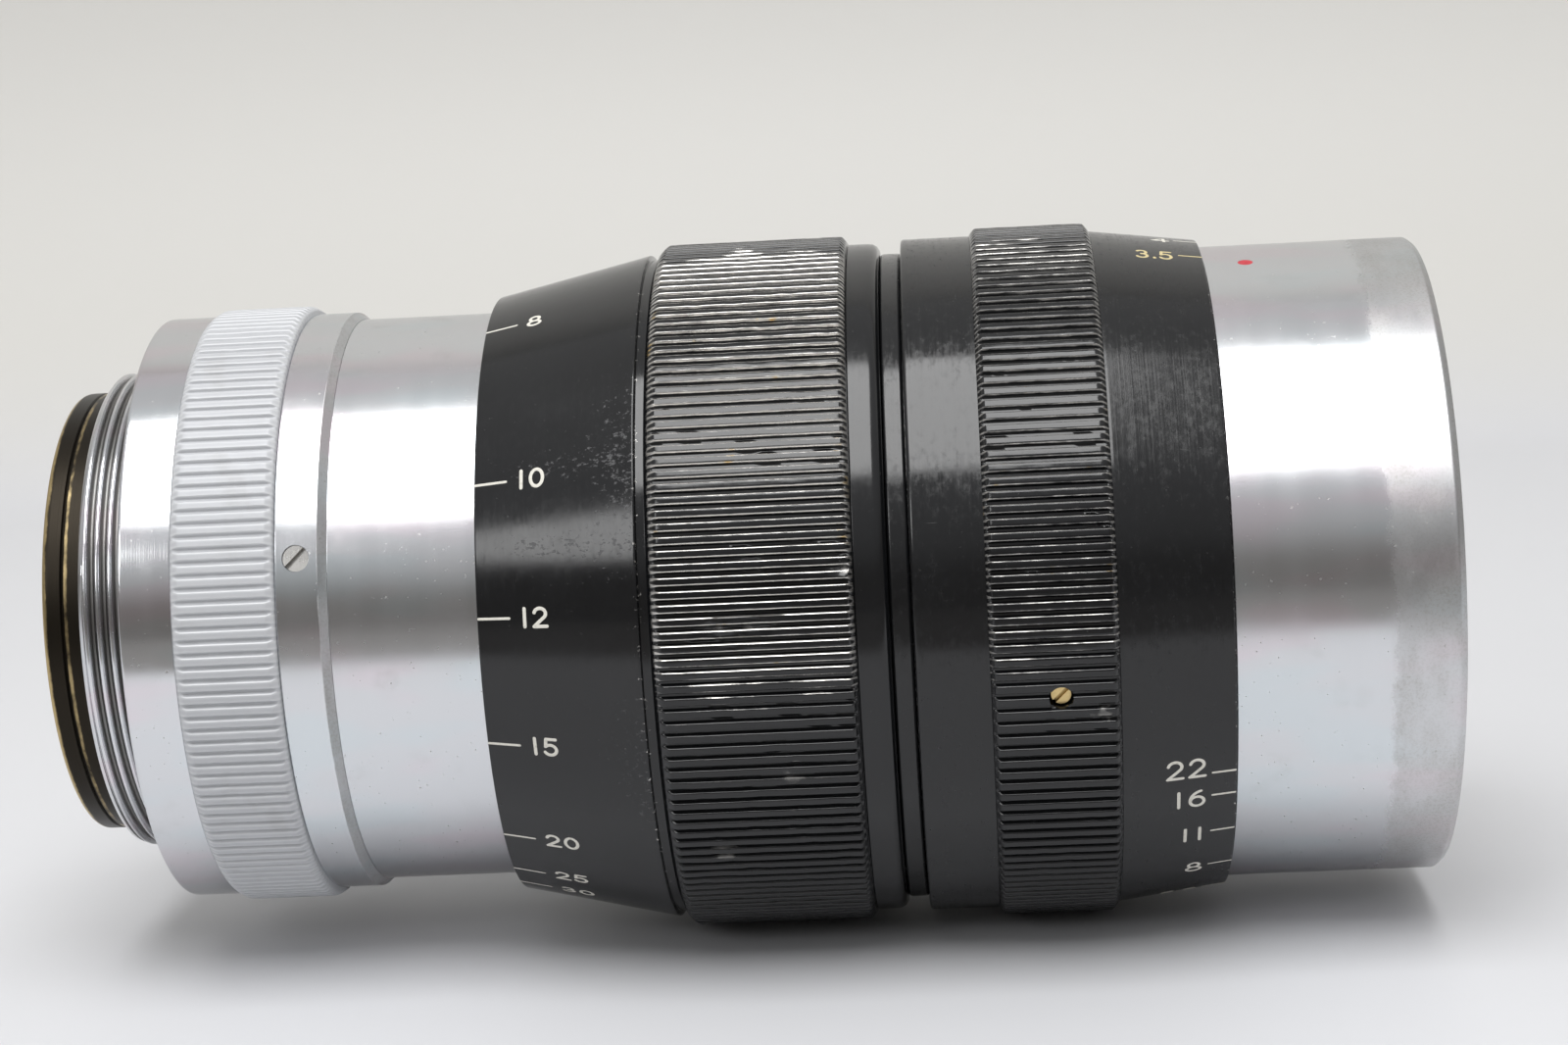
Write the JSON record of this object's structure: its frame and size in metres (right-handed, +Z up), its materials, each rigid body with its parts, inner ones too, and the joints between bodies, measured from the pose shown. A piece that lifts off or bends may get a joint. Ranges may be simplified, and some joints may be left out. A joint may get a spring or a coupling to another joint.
{
  "type": "prime camera lens",
  "caption": "Long prime camera lens with a screw mount, a knurled focus ring on a cone, an aperture ring and a bladed diaphragm that closes.",
  "frame": {"origin": "centre of the mount's flange face, on the optical axis", "axes": "+X along the optical axis towards the front glass, +Z up as the lens lies on its side"},
  "size_m": [0.1084, 0.0558, 0.0558],
  "materials": {
    "chrome": "satin, turned",
    "chrome_grip": "satin, knurled",
    "black_enamel": "gloss, worn at the edges",
    "blackened_brass": "chemically blackened, worn",
    "brass": "turned, greased",
    "steel": "turned",
    "black_anodised": "matt black",
    "aluminium": "turned",
    "blade_steel": "blued, thin sheet",
    "coated_glass": "polished, single coated"
  },
  "bodies": {
    "mount": {"mount_flange": "chrome", "mount_grip_ring": "chrome_grip", "mount_collar": "chrome", "collar_set_screws": "steel", "fixed_barrel": "chrome", "cam_guide_key": "steel", "stop_segment": "brass", "stop_segment_screws": "steel"},
    "rangefinder_cam": {"rf_cam_ring": "blackened_brass"},
    "focus_carrier": {"rear_baffle": "black_anodised"},
    "focusing_group": {"helicoid_sleeve": "brass", "focus_ring": "black_enamel", "focus_ring_screws": "steel", "stop_rail": "brass", "stop_rail_screws": "steel", "head_collar": "black_enamel", "head_barrel": "aluminium", "front_barrel": "chrome", "iris_housing": "black_anodised", "iris_cover_ring": "black_anodised", "front_cell": "black_anodised", "front_element": "coated_glass", "front_retaining_ring": "black_anodised", "doublet_front": "coated_glass", "doublet_rear": "coated_glass", "doublet_retaining_ring": "black_anodised", "rear_cell": "black_anodised", "rear_element": "coated_glass", "rear_retaining_ring": "black_anodised"},
    "aperture": {"aperture_ring": "black_enamel", "aperture_drive_screws": "brass", "iris_ring": "steel"},
    "blade_1": {"iris_blade_1": "blade_steel"},
    "blade_2": {"iris_blade_2": "blade_steel"},
    "blade_3": {"iris_blade_3": "blade_steel"},
    "blade_4": {"iris_blade_4": "blade_steel"},
    "blade_5": {"iris_blade_5": "blade_steel"},
    "blade_6": {"iris_blade_6": "blade_steel"},
    "blade_7": {"iris_blade_7": "blade_steel"},
    "blade_8": {"iris_blade_8": "blade_steel"},
    "blade_9": {"iris_blade_9": "blade_steel"}
  },
  "joints": [
    {"name": "focus_travel", "type": "slide", "parent": "mount", "child": "focus_carrier", "axis": [1, 0, 0], "range_m": [0, 0.0145]},
    {"name": "focus_turn", "type": "hinge", "parent": "focus_carrier", "child": "focusing_group", "pos_m": [0, 0, 0], "axis": [1, 0, 0], "range_deg": [0, 296.5]},
    {"name": "rf_cam_travel", "type": "slide", "parent": "mount", "child": "rangefinder_cam", "axis": [1, 0, 0], "range_m": [0, 0.00188]},
    {"name": "aperture_turn", "type": "hinge", "parent": "focusing_group", "child": "aperture", "pos_m": [0, 0, 0], "axis": [1, 0, 0], "range_deg": [0, 77.3]},
    {"name": "blade_1_swing", "type": "hinge", "parent": "focusing_group", "child": "blade_1", "pos_m": [0.06564, 0, 0.0179], "axis": [1, 0, 0], "range_deg": [0, 38.65]},
    {"name": "blade_2_swing", "type": "hinge", "parent": "focusing_group", "child": "blade_2", "pos_m": [0.06564, -0.01151, 0.01371], "axis": [1, 0, 0], "range_deg": [0, 38.65]},
    {"name": "blade_3_swing", "type": "hinge", "parent": "focusing_group", "child": "blade_3", "pos_m": [0.06564, -0.01763, 0.00311], "axis": [1, 0, 0], "range_deg": [0, 38.65]},
    {"name": "blade_4_swing", "type": "hinge", "parent": "focusing_group", "child": "blade_4", "pos_m": [0.06564, -0.0155, -0.00895], "axis": [1, 0, 0], "range_deg": [0, 38.65]},
    {"name": "blade_5_swing", "type": "hinge", "parent": "focusing_group", "child": "blade_5", "pos_m": [0.06564, -0.00612, -0.01682], "axis": [1, 0, 0], "range_deg": [0, 38.65]},
    {"name": "blade_6_swing", "type": "hinge", "parent": "focusing_group", "child": "blade_6", "pos_m": [0.06564, 0.00612, -0.01682], "axis": [1, 0, 0], "range_deg": [0, 38.65]},
    {"name": "blade_7_swing", "type": "hinge", "parent": "focusing_group", "child": "blade_7", "pos_m": [0.06564, 0.0155, -0.00895], "axis": [1, 0, 0], "range_deg": [0, 38.65]},
    {"name": "blade_8_swing", "type": "hinge", "parent": "focusing_group", "child": "blade_8", "pos_m": [0.06564, 0.01763, 0.00311], "axis": [1, 0, 0], "range_deg": [0, 38.65]},
    {"name": "blade_9_swing", "type": "hinge", "parent": "focusing_group", "child": "blade_9", "pos_m": [0.06564, 0.01151, 0.01371], "axis": [1, 0, 0], "range_deg": [0, 38.65]}
  ],
  "couplings": [
    {"joint": "focus_travel", "follows": "focus_turn", "m_per_rad": 0.002802},
    {"joint": "rf_cam_travel", "follows": "focus_turn", "m_per_rad": 0.00036329},
    {"joint": "blade_1_swing", "follows": "aperture_turn", "ratio": 0.5},
    {"joint": "blade_2_swing", "follows": "aperture_turn", "ratio": 0.5},
    {"joint": "blade_3_swing", "follows": "aperture_turn", "ratio": 0.5},
    {"joint": "blade_4_swing", "follows": "aperture_turn", "ratio": 0.5},
    {"joint": "blade_5_swing", "follows": "aperture_turn", "ratio": 0.5},
    {"joint": "blade_6_swing", "follows": "aperture_turn", "ratio": 0.5},
    {"joint": "blade_7_swing", "follows": "aperture_turn", "ratio": 0.5},
    {"joint": "blade_8_swing", "follows": "aperture_turn", "ratio": 0.5},
    {"joint": "blade_9_swing", "follows": "aperture_turn", "ratio": 0.5}
  ]
}
